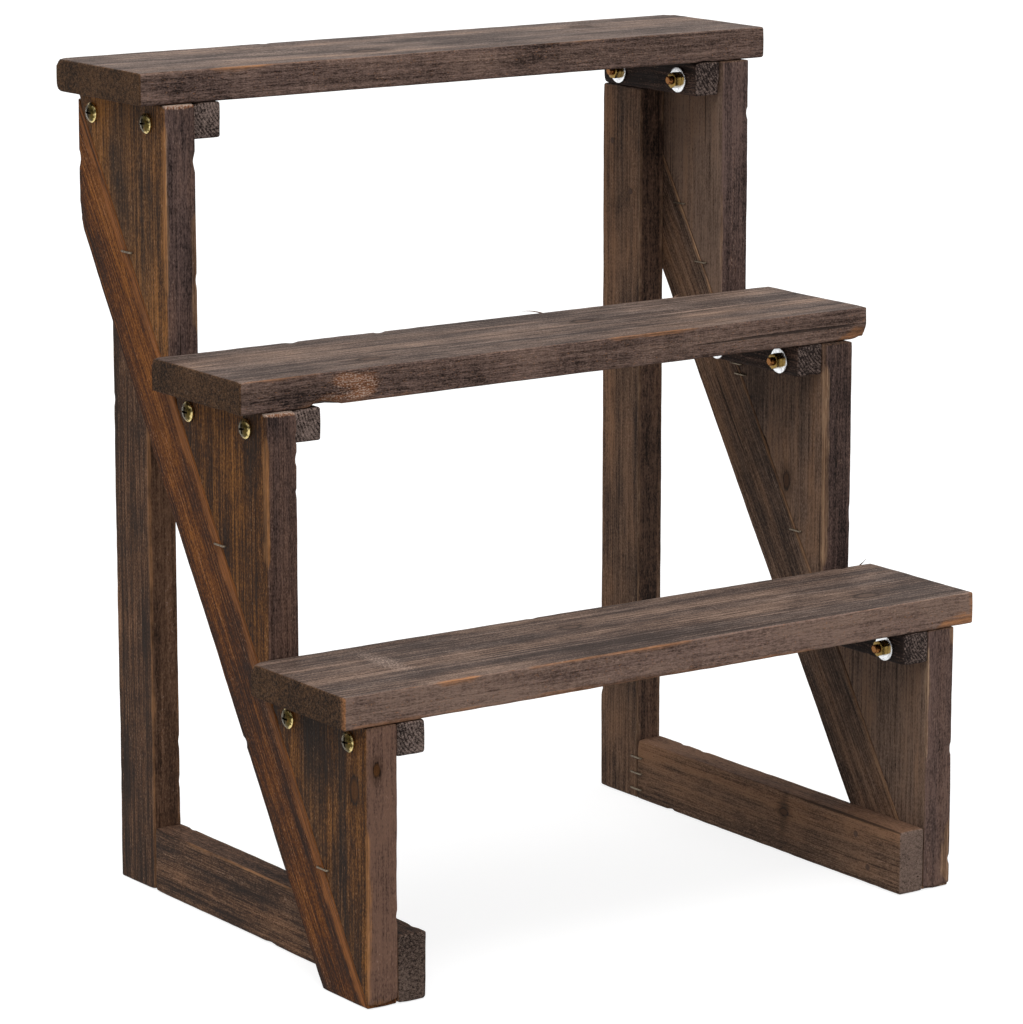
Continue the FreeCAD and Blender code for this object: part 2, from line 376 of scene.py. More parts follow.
def scuffed_and_highlit(wood, colour, dark):
    """Pale scrapes, brown on the narrow sides, and dark marks where the value is below zero; the same
    pale colours paint the highlight of the posts' lit ledges.
    """
    scrape_and_highlight = wood.step(wood.blend(0.0, scuff=1.0, fibres=1.2, grit=1.2, streaks=1.0), 0.15, 0.95)
    bruise = wood.mix(wood["edge"], tint(132, 114, 104), tint(150, 98, 66))
    dots = wood.step(wood.blend(0.0, grit=1.0, fuzz=0.5, scuff=0.07), 0.04, 0.2)
    colour = wood.mix(scrape_and_highlight * 0.8, colour, wood.mix(dots, bruise, tint(204, 178, 160)))
    dirty = wood.step(wood.blend(0.0, scuff=1.0, fibres=0.8, streaks=0.8), -0.15, -0.95)
    return wood.mix(dirty * 0.8, colour, shade(dark, 0.5))


def knotted(wood, colour, near, heart, dark, warm):
    """Each knot's brown halo and ringed heart."""
    colour = wood.mix(wood.step(near, 2.6, 0.9) * 0.45, colour, warm[0])
    tone = 0.62 - wood.step(near, 0.55, 0.9) * 0.62 + (near * 3.5).fraction() * 0.3 + wood["fuzz"]
    return wood.mix(heart, colour, wood.ramp(tone, (0.0, shade(dark, 0.35)), (1.0, warm[1])))


def shelf_wood():
    return weathered_wood(
        "shelf board wood", rings=210.0, end_rings=0.08, speckle=0.55,
        cool=((70, 58, 53), (108, 94, 87), (146, 131, 123)),
        warm=((64, 48, 40), (104, 84, 73), (146, 122, 106)), rub=(150, 104, 70),
        end=((28, 19, 13), (112, 82, 58)), edge=((50, 38, 34), (142, 116, 106)))


def brace_wood():
    return weathered_wood(
        "brace wood", rings=420.0,
        cool=((46, 27, 17), (84, 53, 33), (126, 86, 56)),
        warm=((54, 27, 10), (102, 57, 23), (148, 92, 42)), rub=(142, 88, 46),
        end=((26, 18, 14), (92, 64, 46)), edge=((46, 31, 24), (128, 90, 66)))


def post_wood():
    return weathered_wood(
        "post board wood", rings=300.0, brown_edge=0.3,
        cool=((42, 29, 20), (80, 58, 41), (120, 90, 65)),
        warm=((48, 27, 11), (96, 60, 29), (148, 98, 50)), rub=(156, 108, 66),
        end=((28, 20, 16), (104, 78, 62)), edge=((38, 29, 28), (118, 96, 90)))


def grey_post_wood():
    return weathered_wood(
        "grey post board wood", rings=300.0, brown_edge=0.3,
        cool=((46, 34, 28), (82, 64, 53), (120, 98, 84)),
        warm=((48, 32, 22), (90, 63, 45), (134, 100, 74)), rub=(156, 108, 66),
        end=((28, 20, 16), (104, 78, 62)), edge=((38, 29, 27), (118, 95, 88)))


def batten_wood():
    return weathered_wood(
        "batten wood", rings=260.0, end_rings=0.08,
        cool=((46, 33, 26), (84, 63, 50), (124, 98, 80)),
        warm=((50, 33, 22), (94, 65, 46), (138, 102, 76)), rub=(150, 108, 74),
        end=((36, 27, 23), (138, 116, 104)), edge=((42, 31, 26), (122, 94, 78)))


def cleat_wood():
    return weathered_wood(
        "cleat wood", rings=430.0, late=0.12, end_rings=0.34,
        cool=((44, 33, 29), (82, 66, 59), (122, 102, 92)),
        warm=((44, 30, 25), (86, 65, 55), (126, 97, 82)), rub=(120, 90, 68),
        end=((38, 29, 27), (166, 144, 134)), edge=((40, 30, 27), (116, 94, 84)))


# ---------------------------------------------------------------- metals

def plated(name, base, stain, rough):
    """Bright plating, uneven where it has dulled."""
    paint = Paint(name)
    clouds = paint.clouds(700.0)
    fine = paint.clouds(3600.0, 2.0)
    dull = paint.step(clouds, -0.02, 0.2)
    return paint.principled({
        "Base Color": paint.mix(dull * 0.7, base, stain),
        "Metallic": 1.0,
        "Roughness": rough + clouds * 0.3 + dull * 0.12,
        "Normal": paint.bump(fine * 0.04 + clouds * 0.05),
    })


def stained_steel(name, light, dark):
    """Nail heads under the same brown stain as the boards."""
    paint = Paint(name)
    clouds = paint.clouds(900.0)
    return paint.principled({
        "Base Color": paint.mix(paint.step(clouds, -0.12, 0.12), dark, light),
        "Roughness": 0.75,
        "Specular IOR Level": 0.2,
        "Normal": paint.bump(clouds * 0.1),
    })


def chromated(name, heart, rim):
    """Yellow plating, with a painted reflection that leaves the middle of a head dull, dark and olive
    and a painted highlight that makes it bright towards its rim.

    It is stained in spots, browner at the bolt's end, and painted with shade on the floor of the cross
    recess."""
    paint = Paint(name)
    x, y, z = paint.split(paint.vector("spot"))
    share = (x * x + y * y) * (1.0 / (HEAD_RADIUS * MM) ** 2)
    clouds = paint.clouds(520.0)
    fine = paint.clouds(3600.0, 2.0)
    # painted highlight: the colour turns to the bright rim colour towards the rim of a head
    bright = paint.step(share + clouds * 1.2, 0.62, 1.02)
    on_head = paint.step(z, 0.0, 0.5 * MM)
    recess_floor = paint.step(z, (HEAD_HEIGHT - 0.7) * MM, (HEAD_HEIGHT - 1.3) * MM)
    # painted shade: the floor of the cross recess is darkened
    recess_shade = paint.step(share, 0.3, 0.24) * recess_floor * on_head
    colour = paint.mix(bright, heart, rim)
    colour = paint.mix(paint.step(clouds, 0.06, 0.24) * 0.5, colour, tint(120, 78, 40))
    colour = paint.mix(paint.step(z, -20.0 * MM, -30.0 * MM) * 0.7, colour, tint(150, 98, 56))
    colour = paint.mix(recess_shade * 0.9, colour, tint(26, 19, 10))
    # painted reflection: the middle of a head is darkened, as if it mirrored a dim side
    colour = paint.mix(paint.step(share, 0.34, 0.1) * on_head * 0.6, colour, tint(44, 34, 18))
    return paint.principled({
        "Base Color": colour,
        "Metallic": 1.0,
        "Roughness": 0.24 + clouds * 0.25 - bright * 0.08 + recess_shade * 0.2,
        "Normal": paint.bump(fine * 0.04 + clouds * 0.06),
    })


def metals():
    """Finishes of the small steel parts."""
    return {
        # In each chromated finish the first colour is the middle of a head, darkened as a painted
        # reflection, and the second is the painted highlight at its rim.
        "yellow_zinc": chromated("yellow zinc", tint(74, 63, 30), tint(232, 210, 146)),
        "nut_zinc": chromated("nut yellow zinc", tint(138, 112, 60), tint(196, 166, 98)),
        "bright_zinc": plated("bright zinc", tint(236, 238, 240), tint(196, 198, 200), 0.22),
        "staple_wire": plated("staple wire", tint(126, 114, 98), tint(76, 60, 48), 0.42),
        "nail_steel": stained_steel("nail steel", tint(104, 82, 70), tint(86, 66, 55)),
    }


# ---------------------------------------------------------------- boards

# Odd factors and a mask that scramble a lattice cell's numbers.
SCRAMBLE_X, SCRAMBLE_Y, SCRAMBLE_Z = 374761393, 668265263, 974711
SCRAMBLE_SEED, SCRAMBLE_AGAIN = 69069, 1274126177
MASK = 0x7FFFFFFF


def value_noise(points, size, seed):
    """Smooth noise from 0 to 1 at points in mm, its lattice cells of that size."""
    place = points * (1 / size) + seed * 7.31
    cell = np.floor(place).astype(np.int64)
    share = place - cell
    share = share * share * (3.0 - 2.0 * share)
    total = np.zeros(len(points))
    for corner in range(8):
        step = np.array([corner & 1, corner >> 1 & 1, corner >> 2 & 1])
        x, y, z = (cell + step).T
        mixed = (x * SCRAMBLE_X + y * SCRAMBLE_Y + z * SCRAMBLE_Z + seed * SCRAMBLE_SEED) & MASK
        mixed = ((mixed ^ (mixed >> 13)) * SCRAMBLE_AGAIN) & MASK
        mixed = (mixed ^ (mixed >> 16)) & 0xFFFF
        weight = np.prod(np.where(step == 1, share, 1.0 - share), axis=1)
        total += weight * mixed / 0xFFFF
    return total


def stations(length):
    """Shares of a side, close together near its two arrises."""
    near = [gap for gap in NEAR_ARRIS if gap < length * 0.35]
    count = max(2, math.ceil((length - 2 * near[-1]) / PITCH))
    inner = np.linspace(near[-1], length - near[-1], count + 1)
    outer = [0.0, *near[:-1]]
    return np.concatenate([outer, inner, [length - gap for gap in reversed(outer)]]) / length


def lattice(shape):
    """Which points of a box lattice are on its skin, and the skin's quads."""
    skin = np.zeros(shape, bool)
    for axis in range(3):
        for layer in (0, -1):
            skin[tuple(layer if a == axis else slice(None) for a in range(3))] = True
    numbers = np.full(shape, -1)
    numbers[skin] = np.arange(skin.sum())
    quads = []
    for axis in range(3):
        for last in (False, True):
            grid = numbers.take(-1 if last else 0, axis)
            ring = [grid[:-1, :-1], grid[1:, :-1], grid[1:, 1:], grid[:-1, 1:]]
            if last == (axis == 1):
                ring.reverse()
            quads.append(np.stack([part.ravel() for part in ring], -1))
    return skin, np.concatenate(quads)


def inward_normals(ring):
    """Unit inward normals of the four edges of an outline that turns left."""
    edge = np.roll(ring, -1, axis=0) - ring
    normal = np.stack([-edge[:, 1], edge[:, 0]], -1)
    return normal / np.hypot(*normal.T)[:, None]


def closest_on_outline(points, corners):
    """The nearest point of an outline, which may differ for every point."""
    best = points.copy()
    inside = np.ones(len(points), bool)
    gap = np.full(len(points), np.inf)
    for index in range(4):
        first, second = corners[:, index], corners[:, (index + 1) % 4]
        edge = second - first
        away = points - first
        share = np.clip((away * edge).sum(1) / (edge ** 2).sum(1), 0.0, 1.0)
        spot = first + edge * share[:, None]
        distance = np.hypot(*(points - spot).T)
        nearer = distance < gap
        gap = np.where(nearer, distance, gap)
        best = np.where(nearer[:, None], spot, best)
        inside &= edge[:, 0] * away[:, 1] - edge[:, 1] * away[:, 0] > 0
    return np.where(inside[:, None], points, best)


def rounded(flat, thick, ring, inward, span, radius):
    """Round all the arrises of a board, each point by its own radius."""
    before = np.roll(inward, 1, axis=0)
    mitre = (inward + before) / (1.0 + (inward * before).sum(1))[:, None]
    core = closest_on_outline(flat, ring[None] + mitre[None] * radius[:, None, None])
    core_thick = np.clip(thick, span[0] + radius, span[1] - radius)
    offset = np.concatenate([flat - core, (thick - core_thick)[:, None]], 1)
    size = np.sqrt((offset ** 2).sum(1))
    offset *= (radius / np.maximum(size, 1e-6))[:, None]
    return core + offset[:, :2], core_thick + offset[:, 2]


def sliver(root, way, length, curl, width=0.6, steps=7):
    """A tapering three-sided fibre as points in mm and faces turned outward."""
    way = way / np.linalg.norm(way)
    side = np.cross(way, (0.3, 0.2, 0.93))
    side /= np.linalg.norm(side)
    third = np.cross(way, side)
    points = []
    for step in range(steps):
        share = step / steps
        centre = root + way * length * share + curl * share ** 2
        for turn in (0.0, math.tau / 3, 2 * math.tau / 3):
            reach = side * math.cos(turn) + third * math.sin(turn)
            points.append(centre + reach * width * (1 - share * 0.85))
    points.append(root + way * length + curl)
    faces = [[2, 1, 0]]
    for low in range(0, steps * 3 - 3, 3):
        faces += [[low + i, low + (i + 1) % 3, low + 3 + (i + 1) % 3, low + 3 + i] for i in range(3)]
    last, tip = steps * 3 - 3, steps * 3
    faces += [[last + i, last + (i + 1) % 3, tip] for i in range(3)]
    return np.array(points), faces


def fade(distance, full, none):
    """1 up to one distance, falling smoothly to 0 at the other."""
    share = np.clip((none - distance) / (none - full), 0, 1)
    return share * share * (3 - 2 * share)


def write(mesh, name, values):
    """Keep a number or a vector on each point of a mesh."""
    kind, key = ("FLOAT_VECTOR", "vector") if values.ndim == 2 else ("FLOAT", "value")
    attribute = mesh.attributes.new(name, kind, "POINT")
    attribute.data.foreach_set(key, np.ascontiguousarray(values, np.float32).ravel())


def new_piece(name, mesh):
    piece = bpy.data.objects.new(name, mesh)
    bpy.context.scene.collection.objects.link(piece)
    return piece


def box_mm(node):
    low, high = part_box(node)
    return np.array(low) / MM, np.array(high) / MM


class Board:
    """One sawn board, in mm: its outline in a plane, and its thickness square to that.

    A lattice of points on its flat sides, raw, covers it; away is how far each is from every
    side. ring is the outline as it turns left, and inward the normals of its edges."""

    def __init__(self, node, corners, seed, along, pith, radius, upright=True):
        self.node = node
        self.low, self.high = box_mm(node)
        through = 0 if upright else 2
        self.span = (self.low[through], self.high[through])
        self.corners = np.array(corners, float)
        self.seed = seed
        self.along = np.array(along, float) / math.hypot(*along)
        self.across = np.array([-self.along[1], self.along[0]])
        self.pith = pith
        self.radius = radius
        self.upright = upright
        self.stain = self.warmth = 0.0
        self.nicks = 9
        self.rubs, self.knots, self.chips, self.slopes = [], [], [], []
        self.warm_sides, self.scuffs, self.splinters = [], [], []

    def tone(self, stain, warmth=0.0):
        """How light against its family the board is, and how orange."""
        self.stain, self.warmth = stain, warmth
        return self

    def warm_side(self, side, width, gain, lift=0.0):
        """Let the stain turn orange towards one side, and lighter by lift, darker where lift is below
        zero, as in the painted shade along the left brace's back edge.
        """
        self.warm_sides.append((side, width, gain, lift))
        return self

    def scuff(self, place, sizes, share=1.0):
        """A pale patch round a point of the frame, its half sizes along x, y and z: a scrape, and at
        the posts' tops a painted highlight of their lit ledge.

        A share below zero makes a dark mark."""
        self.scuffs.append((np.array(place, float), np.array(sizes, float), share))
        return self

    def rub(self, first, second, reach, start=-1e4, finish=1e4, lean=1.0):
        """Wear the arris between two sides, reach mm in from it, over part of its length.

        A lean over 1 keeps most of the wear on the second side's face."""
        self.rubs.append((first, second, reach, start, finish, lean))
        return self

    def knot(self, along, across, radius, on_edge=False):
        self.knots.append((along, across, radius, on_edge))
        return self

    def chip(self, place, radius, depth, squash=(1.0, 1.0, 1.0)):
        """Knock a dent of that depth into the board round a point of the frame."""
        self.chips.append((np.array(place, float), radius, depth, np.array(squash)))
        return self

    def splinter(self, root, way, length, curl):
        """A thin fibre that stands off the board at root, bent by curl mm at its tip."""
        self.splinters.append((np.array(root, float), np.array(way, float), length,
                               np.array(curl, float)))
        return self

    def slope(self, side, width, drop):
        """Let the face fall away towards one side, over that width."""
        self.slopes.append((side, width, drop))
        return self

    def place(self, flat, thick):
        """Points of the frame, from the outline's plane and the way through the board."""
        columns = (thick, *flat.T) if self.upright else (*flat.T, thick)
        return np.stack(columns, -1)

    def uneven(self, size, number, points=None):
        """One of the board's own noises, its cells of that size in mm."""
        return value_noise(self.raw if points is None else points, size, self.seed + number)

    def build(self):
        """The finished piece, with the values that its material reads."""
        flat, thick, quads = self.lay_out()
        flat, thick = self.eased(flat, thick)
        axis = flat @ self.along
        points, wear = self.knocked(self.place(flat, thick), self.arris_wear(axis))
        grain = np.stack([axis, flat @ self.across, thick], -1)
        if self.inside_out(points, quads):
            quads = quads[:, ::-1]
        points, faces, nearest = self.splintered(points, quads.tolist())
        mesh = bpy.data.meshes.new(self.node + "_board")
        mesh.from_pydata((points * MM).tolist(), [], faces)
        mesh.polygons.foreach_set("use_smooth", [True] * len(mesh.polygons))
        self.raw, grain, wear = self.raw[nearest], grain[nearest], wear[nearest]
        wear[len(axis):] = 0.6
        self.away = {side: gap[nearest] for side, gap in self.away.items()}
        self.describe(mesh, grain, wear)
        return new_piece(self.node + "_board", mesh)

    def lay_out(self):
        """Points on the six flat sides, in the outline's plane and through the board."""
        a, b, c, d = self.corners
        lengths = [max(math.dist(a, b), math.dist(d, c)), max(math.dist(a, d), math.dist(b, c)),
                   self.span[1] - self.span[0]]
        shares = [stations(length) for length in lengths]
        skin, quads = lattice([len(share) for share in shares])
        u, v, w = (part[skin] for part in np.meshgrid(*shares, indexing="ij"))
        flat = ((1 - u) * (1 - v))[:, None] * a + (u * (1 - v))[:, None] * b
        flat += (u * v)[:, None] * c + ((1 - u) * v)[:, None] * d
        thick = self.span[0] + w * lengths[2]
        self.ring, self.order = self.corners, ("front", "finish", "back", "start")
        if np.cross(b - a, d - a) < 0:
            self.ring, self.order = self.corners[::-1], ("back", "finish", "front", "start")
        self.inward = inward_normals(self.ring)
        self.away = {side: ((flat - corner) * normal).sum(1)
                     for side, corner, normal in zip(self.order, self.ring, self.inward)}
        self.away["under"] = w * lengths[2]
        self.away["face"] = (1 - w) * lengths[2]
        self.raw = self.place(flat, thick)
        return flat, thick, quads

    def gaps(self):
        """Each point's gaps to the six sides, the smallest first."""
        return np.sort(np.stack([self.away[side] for side in SIDES]), axis=0)

    def eased(self, flat, thick):
        """Round the arrises unevenly and sink the faces a little, inside the board's box."""
        radius = self.radius * (0.35 + 0.9 * self.uneven(34.0, 0) + 0.45 * self.uneven(7.0, 1))
        radius = radius * (1 + 0.3 * np.clip(1 - self.gaps()[2] / 9.0, 0, 1))
        for side, width, drop in self.slopes:
            fall = np.clip(1 - self.away[side] / width, 0, 1) * drop
            thick = np.where(self.away["face"] < 1e-6, thick - fall, thick)
        flat, thick = rounded(flat, thick, self.ring, self.inward, self.span, radius)
        sink = 0.34 * self.uneven(46.0, 2) + 0.16 * self.uneven(9.0, 3)
        for side, normal in zip(self.order, self.inward):
            hold = np.exp(-np.maximum(self.away[side], 0) / 1.2)
            flat = flat + normal * (sink * hold)[:, None]
        for side, sense in (("under", 1.0), ("face", -1.0)):
            thick = thick + sense * sink * np.exp(-self.away[side] / 1.2)
        return flat, thick

    def arris_wear(self, axis):
        """How far inside a worn arris each point is, in mm."""
        ragged = self.uneven(15.0, 4) * 1.4 + self.uneven(4.0, 5) * 0.7
        wear = np.full(len(axis), -9.0)
        for index, first in enumerate(SIDES):
            for second in SIDES[index + 1:]:
                gap = np.hypot(self.away[first], self.away[second])
                wear = np.maximum(wear, ragged * 1.1 - 1.15 - gap)
        for first, second, reach, start, finish, lean in self.rubs:
            gap = np.hypot(self.away[first], self.away[second] * lean)
            window = np.clip(np.minimum(axis - start, finish - axis) / 8.0, 0, 1)
            wear = np.maximum(wear, reach * window * (0.45 + 0.55 * ragged) - gap)
        return wear

    def knocked(self, points, wear):
        """Dent the board at its chips, which are worn, and at small nicks."""
        marked = [(*chip, True) for chip in self.chips]
        marked += [(*nick, False) for nick in self.random_nicks()]
        for spot, size, depth, squash, bare in marked:
            reach = np.sqrt((((points - spot) / squash) ** 2).sum(1)) / size
            jag = self.uneven(2.6, 6, points) * 0.5 + 0.75
            fall = np.clip(1 - reach, 0, 1) ** 0.6 * depth * jag
            points = points + self.inward_at(spot) * fall[:, None]
            if bare:
                wear = np.maximum(wear, np.clip(1.0 - reach, -9, 1) * 2.0)
        return points, wear

    def random_nicks(self):
        """Small knocks along the arrises, placed by chance."""
        draw = np.random.default_rng(self.seed)
        arris = self.raw[self.gaps()[1] < 0.1]
        return [(arris[draw.integers(len(arris))], draw.uniform(2.5, 6.5), draw.uniform(0.5, 1.3), 1.0)
                for _ in range(self.nicks)]

    def inward_at(self, spot):
        """The way into the board from a point of its skin, between the sides that meet there."""
        flat, thick = (spot[1:], spot[0]) if self.upright else (spot[:2], spot[2])
        way = np.zeros(3)
        for corner, normal in zip(self.ring, self.inward):
            share = math.exp(-abs((flat - corner) @ normal) / 3.0)
            way += self.place(normal[None], np.zeros(1))[0] * share
        through = self.place(np.zeros((1, 2)), np.ones(1))[0]
        low_share, high_share = (math.exp(-abs(thick - face) / 3.0) for face in self.span)
        way += through * (low_share - high_share)
        return way / np.linalg.norm(way)

    def inside_out(self, points, quads):
        a, b, c, d = (points[quads[:, index]] for index in range(4))
        return (np.cross(c - a, d - b) * (a + b + c + d)).sum() < 0

    def splintered(self, points, faces):
        """Add the loose fibres, and say which of the board's points each point is near."""
        body = points
        for splinter in self.splinters:
            tube, tube_faces = sliver(*splinter)
            faces += [[corner + len(points) for corner in face] for face in tube_faces]
            points = np.concatenate([points, tube])
        nearest = np.arange(len(points))
        for index in range(len(body), len(points)):
            nearest[index] = ((body - points[index]) ** 2).sum(1).argmin()
        return points, faces, nearest

    def describe(self, mesh, grain, wear):
        """Write what the wood's material reads: where each point is, and how it is marked."""
        away = self.away
        begin = np.array([self.seed * 731.0, 0.0, 0.0])
        pith = np.array([0.0, self.pith[0] + self.corners.mean(0) @ self.across,
                         self.pith[1] + sum(self.span) / 2])
        stain = np.full(len(grain), self.stain)
        warmth = np.full(len(grain), self.warmth)
        for side, width, gain, lift in self.warm_sides:
            share = np.exp(-np.maximum(away[side], 0) / width)
            warmth += gain * share
            stain += lift * share
        scuff = np.zeros(len(grain))
        for spot, sizes, share in self.scuffs:
            scuff += share * np.clip(1.6 - np.sqrt((((self.raw - spot) / sizes) ** 2).sum(1)), 0, 1)
        values = {
            "grain": (grain - pith + begin) * MM,
            "wear": wear,
            "end": fade(np.minimum(away["start"], away["finish"]), 0.2, 1.3),
            "edge": fade(np.minimum(away["front"], away["back"]), 0.2, 1.6),
            "knot": self.knot_offsets(grain) * MM,
            "stain": stain,
            "warmth": warmth,
            "scuff": scuff,
        }
        for name, numbers in values.items():
            write(mesh, name, numbers)

    def knot_offsets(self, grain):
        """Each point's offset from the nearest knot, and that knot's radius."""
        result = np.tile([9000.0, 9000.0, 5.0], (len(grain), 1))
        on_edge = np.minimum(self.away["front"], self.away["back"]) < 0.3
        for along, across, radius, edge_knot in self.knots:
            other = grain[:, 2] if edge_knot else grain[:, 1]
            offset = np.stack([grain[:, 0] - along, other - across, np.full(len(grain), radius)], -1)
            nearer = np.hypot(*offset[:, :2].T) < np.hypot(*result[:, :2].T)
            nearer &= on_edge if edge_knot else ~on_edge
            result = np.where(nearer[:, None], offset, result)
        return result


def finish_board(board, paint):
    piece = board.build()
    piece.data.materials.append(paint)
    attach(piece, "root")
    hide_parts(board.node)


# ---------------------------------------------------------------- shelves

def shelf(tier, seed, pith):
    node = "shelf_" + tier
    low, high = box_mm(node)
    corners = [(low[0], low[1]), (high[0], low[1]), (high[0], high[1]), (low[0], high[1])]
    board = Board(node, corners, seed, (1, 0), pith, 1.1, upright=False)
    return board, low, high


def top_shelf():
    board, low, high = shelf("top", 11, (60.0, 34.0))
    board.tone(0.0, -0.2).warm_side("start", 1.2, 0.4).warm_side("front", 1.5, 0.2, 0.08)
    board.rub("front", "face", 3.6, -206, -152).rub("front", "face", 1.8, 60, 120)
    board.rub("under", "finish", 3.0, 240, 260)
    board.chip((low[0], high[1], high[2]), 4.5, 1.3).chip((low[0], high[1], low[2]), 4, 1.1)
    board.knot(-60, 95, 6).knot(150, 140, 5).scuff((-120, 120, high[2]), (34, 9, 4), 0.5)
    return board


def middle_shelf():
    """The most knocked shelf, with a notch and a brown scrape near the left end of its front."""
    board, low, high = shelf("middle", 23, (-46.0, 40.0))
    board.tone(-0.02, 0.0).warm_side("start", 1.2, 0.5, -0.08).warm_side("front", 1.5, 0.1, 0.1)
    board.rub("front", "face", 2.2, -256, -190).rub("front", "under", 2.6, -215, -120)
    board.rub("front", "face", 2.4, 30, 110).rub("under", "front", 8.0, 228, 260, 1.4)
    board.chip((low[0] + 64, low[1], low[2]), 9, 4.0, (1.3, 1, 0.6))
    board.chip((low[0], high[1], high[2]), 4.5, 1.2).chip((high[0], low[1], low[2]), 8, 2.6)
    for x, z, wide, tall in ((-176, 380, 9, 5), (-160, 377, 9, 6), (-168, 370, 12, 3),
                             (-189, 369, 8, 3)):
        board.scuff((x, low[1], z), (wide, 4, tall), 0.85)
    board.splinter((57, high[1] - 0.5, high[2] - 0.8), (-1.0, 0.1, 0.38), 19, (0, 0, -4))
    board.splinter((170, high[1] - 0.5, high[2] - 0.6), (1.0, 0.1, 0.4), 11, (0, 0, -1))
    board.knot(-140, -30, 6).knot(60, 12, 5)
    return board


def lower_shelf():
    board, low, high = shelf("lower", 37, (52.0, 30.0))
    board.tone(-0.1, 0.1).warm_side("front", 1.5, 0.35, 0.4).warm_side("start", 1.2, 0.4)
    board.rub("front", "face", 4.0, -190, -150).rub("front", "start", 4.5, lean=3.0)
    board.rub("front", "face", 2.4, -120, 20).rub("front", "under", 2.6, -256, 120)
    board.rub("under", "front", 9.0, 222, 260, 1.2).rub("finish", "front", 4.0)
    board.chip((low[0], high[1], high[2]), 6, 1.8).scuff((-183, -107, high[2]), (8, 32, 4), 0.6)
    board.splinter((246, high[1] - 0.5, high[2] - 0.6), (1.0, 0.0, 0.55), 7, (0, 0, 1))
    board.knot(-30, -100, 5).knot(190, -140, 6)
    return board


def shelves(paint):
    for make in (top_shelf, middle_shelf, lower_shelf):
        finish_board(make(), paint)


# ---------------------------------------------------------------- side frames

def outer_and_inner(hand):
    """Names of the sides that face away from the stand's middle, and to it."""
    return ("under", "face") if hand == "left" else ("face", "under")


def rectangle(node, lying):
    """Corners in y and z, run along y when lying and else along z."""
    low, high = box_mm(node)
    ring = [(low[1], low[2]), (high[1], low[2]), (high[1], high[2]), (low[1], high[2])]
    return ring if lying else [ring[0], ring[3], ring[2], ring[1]]


def brace_slope(node="brace_left"):
    low, high = box_mm(node)
    return (high[2] - low[2]) / (high[1] - low[1])


def post_corners(node):
    """A post's outline, its foot cut along the brace."""
    low, high = box_mm(node)
    back_low = low[2] + brace_slope() * (high[1] - low[1])
    return [(low[1], low[2]), (low[1], high[2]), (high[1], high[2]), (high[1], back_low)]


def brace_corners(node):
    """A brace's outline, cut level at its foot and upright at its top."""
    low, high = box_mm(node)
    slope = brace_slope(node)
    foot = BRACE_WIDTH * math.hypot(1, 1 / slope)
    cut = BRACE_WIDTH * math.hypot(1, slope)
    return [(low[1], low[2]), (high[1], high[2]), (high[1], high[2] - cut), (low[1] + foot, low[2])]


def braces(brown, grey):
    for hand, seed, paint in (("left", 41, brown), ("right", 43, grey)):
        node = "brace_" + hand
        board = Board(node, brace_corners(node), seed, (1, brace_slope()), (38.0, 22.0), 0.9)
        outside, inside = outer_and_inner(hand)
        board.rub("front", outside, 8.5, -110, 610).slope("front", 12.0, 0.7)
        board.rub("back", inside, 1.2).rub("front", inside, 3.0, lean=2.0)
        if hand == "left":
            # painted shade: the left brace is darkened within 5 mm of its back (lower) edge, near the
            # back post
            board.tone(-0.05, 0.4).warm_side("back", 5.0, -0.1, -0.14)
        else:
            board.tone(0.0, -0.25).warm_side(inside, 1.5, 0.1, 0.2)
        finish_board(board, paint)


def top_post(board, hand, outside, inside):
    """Both stand proud of the shelf, and the left one's top is painted pale along its front as a
    painted highlight of the lit ledge.
    """
    low, high = board.low, board.high
    if hand == "left":
        board.tone(0.1, 0.0)
        # painted highlight: a strong pale patch round the top front arris stands for the lit ledge
        board.scuff(((low[0] + high[0]) / 2, low[1] + 1.0, high[2]), (13, 3.5, 1.9), 2.4)
        board.rub("front", outside, 6.0, 422, 540, 3.0).rub("front", inside, 5.0, 396, 482)
        board.chip((high[0], low[1], 512), 4, 1.6, (1, 1, 1.4))
    else:
        board.tone(0.12, -0.5).warm_side(inside, 1.5, 0.05, 0.36)
        board.rub("front", inside, 2.6, 330, 460, 2.0)


def middle_post(board, hand, outside, inside):
    low, high = board.low, board.high
    if hand == "left":
        board.tone(-0.12, 0.5).warm_side("front", 1.5, 0.0, 0.24)
        # painted highlight: a pale patch round the top front arris stands for the lit ledge
        board.scuff(((low[0] + high[0]) / 2, low[1] + 1.5, high[2]), (13, 4.0, 1.7), 1.8)
        board.rub("front", outside, 6.0, 262, 352, 3.0)
    else:
        board.tone(-0.01, -0.3).warm_side(inside, 1.5, 0.1, 0.32)
        board.rub("front", inside, 6.0, 206, 352, 1.6).knot(262, 17, 4.0)


def front_post(board, hand, outside, inside):
    low, high = board.low, board.high
    if hand == "left":
        board.tone(-0.11, 0.1).warm_side("front", 1.5, 1.8, 0.5)
        board.rub("front", outside, 3.0, 0, 120).rub("start", "front", 3.0, lean=1.5)
        board.knot(141, 160, 5.5).knot(156, (low[0] + high[0]) / 2 - 4, 3.0, on_edge=True)
    else:
        board.tone(0.22, -0.2).warm_side(inside, 1.5, -0.15, 0.14)
        board.rub("front", inside, 4.0, 90, 175, 2.0)
        board.rub(outside, "front", 9.0, 0, 50, 1.3).rub(outside, "front", 5.0, 166, 190)


def posts(brown, grey):
    kinds = (("top", top_post, 51, (-62.0, 30.0)), ("middle", middle_post, 57, (70.0, 26.0)),
             ("front", front_post, 63, (-62.0, 30.0)))
    for hand, paint in (("left", brown), ("right", grey)):
        for tier, mark, seed, pith in kinds:
            node = f"{tier}_post_{hand}"
            seed += 2 * HANDS.index(hand)
            board = Board(node, post_corners(node), seed, (0, 1), pith, 0.9)
            board.nicks = 14
            if hand == "left":
                board.warm_side("front", 18.0, 0.7, 0.1).warm_side("front", 1.5, -0.9, -0.1)
                board.warm_side("back", 12.0, 0.0, -0.16)
            mark(board, hand, *outer_and_inner(hand))
            finish_board(board, paint)


